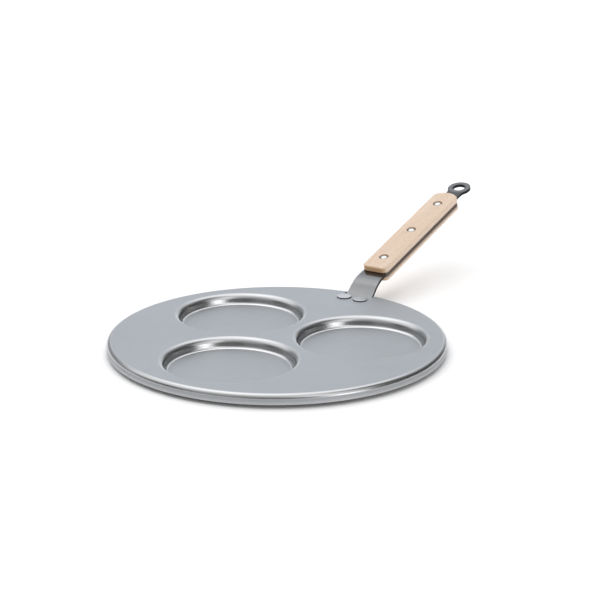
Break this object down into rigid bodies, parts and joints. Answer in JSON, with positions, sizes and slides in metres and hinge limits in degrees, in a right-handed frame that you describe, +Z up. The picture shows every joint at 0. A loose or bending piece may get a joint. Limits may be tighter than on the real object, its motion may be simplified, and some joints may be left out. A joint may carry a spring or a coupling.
{
  "type": "three-hole blini pan",
  "caption": "Round pressed steel pan with shallow wells and a turned-down rim, riveted to a sloping strap handle with wooden grip scales and a hanging eye.",
  "frame": {"origin": "centre of the plate's flat top face, between the three wells", "axes": "+Z up, out of the plate's top face; +X from the centre along the handle"},
  "size_m": [0.4551, 0.27, 0.0705],
  "materials": {
    "plate_steel": "satin, lightly waxed",
    "strap_steel": "satin, dark mill edges",
    "handle_wood": "pale beech, waxed",
    "rivet_steel": "bright"
  },
  "bodies": {
    "root": {"pan_plate": "plate_steel", "handle_strap": "strap_steel", "upper_scale": "handle_wood", "lower_scale": "handle_wood", "pan_rivet_left": "rivet_steel", "pan_rivet_right": "rivet_steel", "scale_rivet_1_socket": "rivet_steel", "scale_rivet_1_pin": "rivet_steel", "scale_rivet_2_socket": "rivet_steel", "scale_rivet_2_pin": "rivet_steel", "scale_rivet_3_socket": "rivet_steel", "scale_rivet_3_pin": "rivet_steel"}
  },
  "joints": []
}
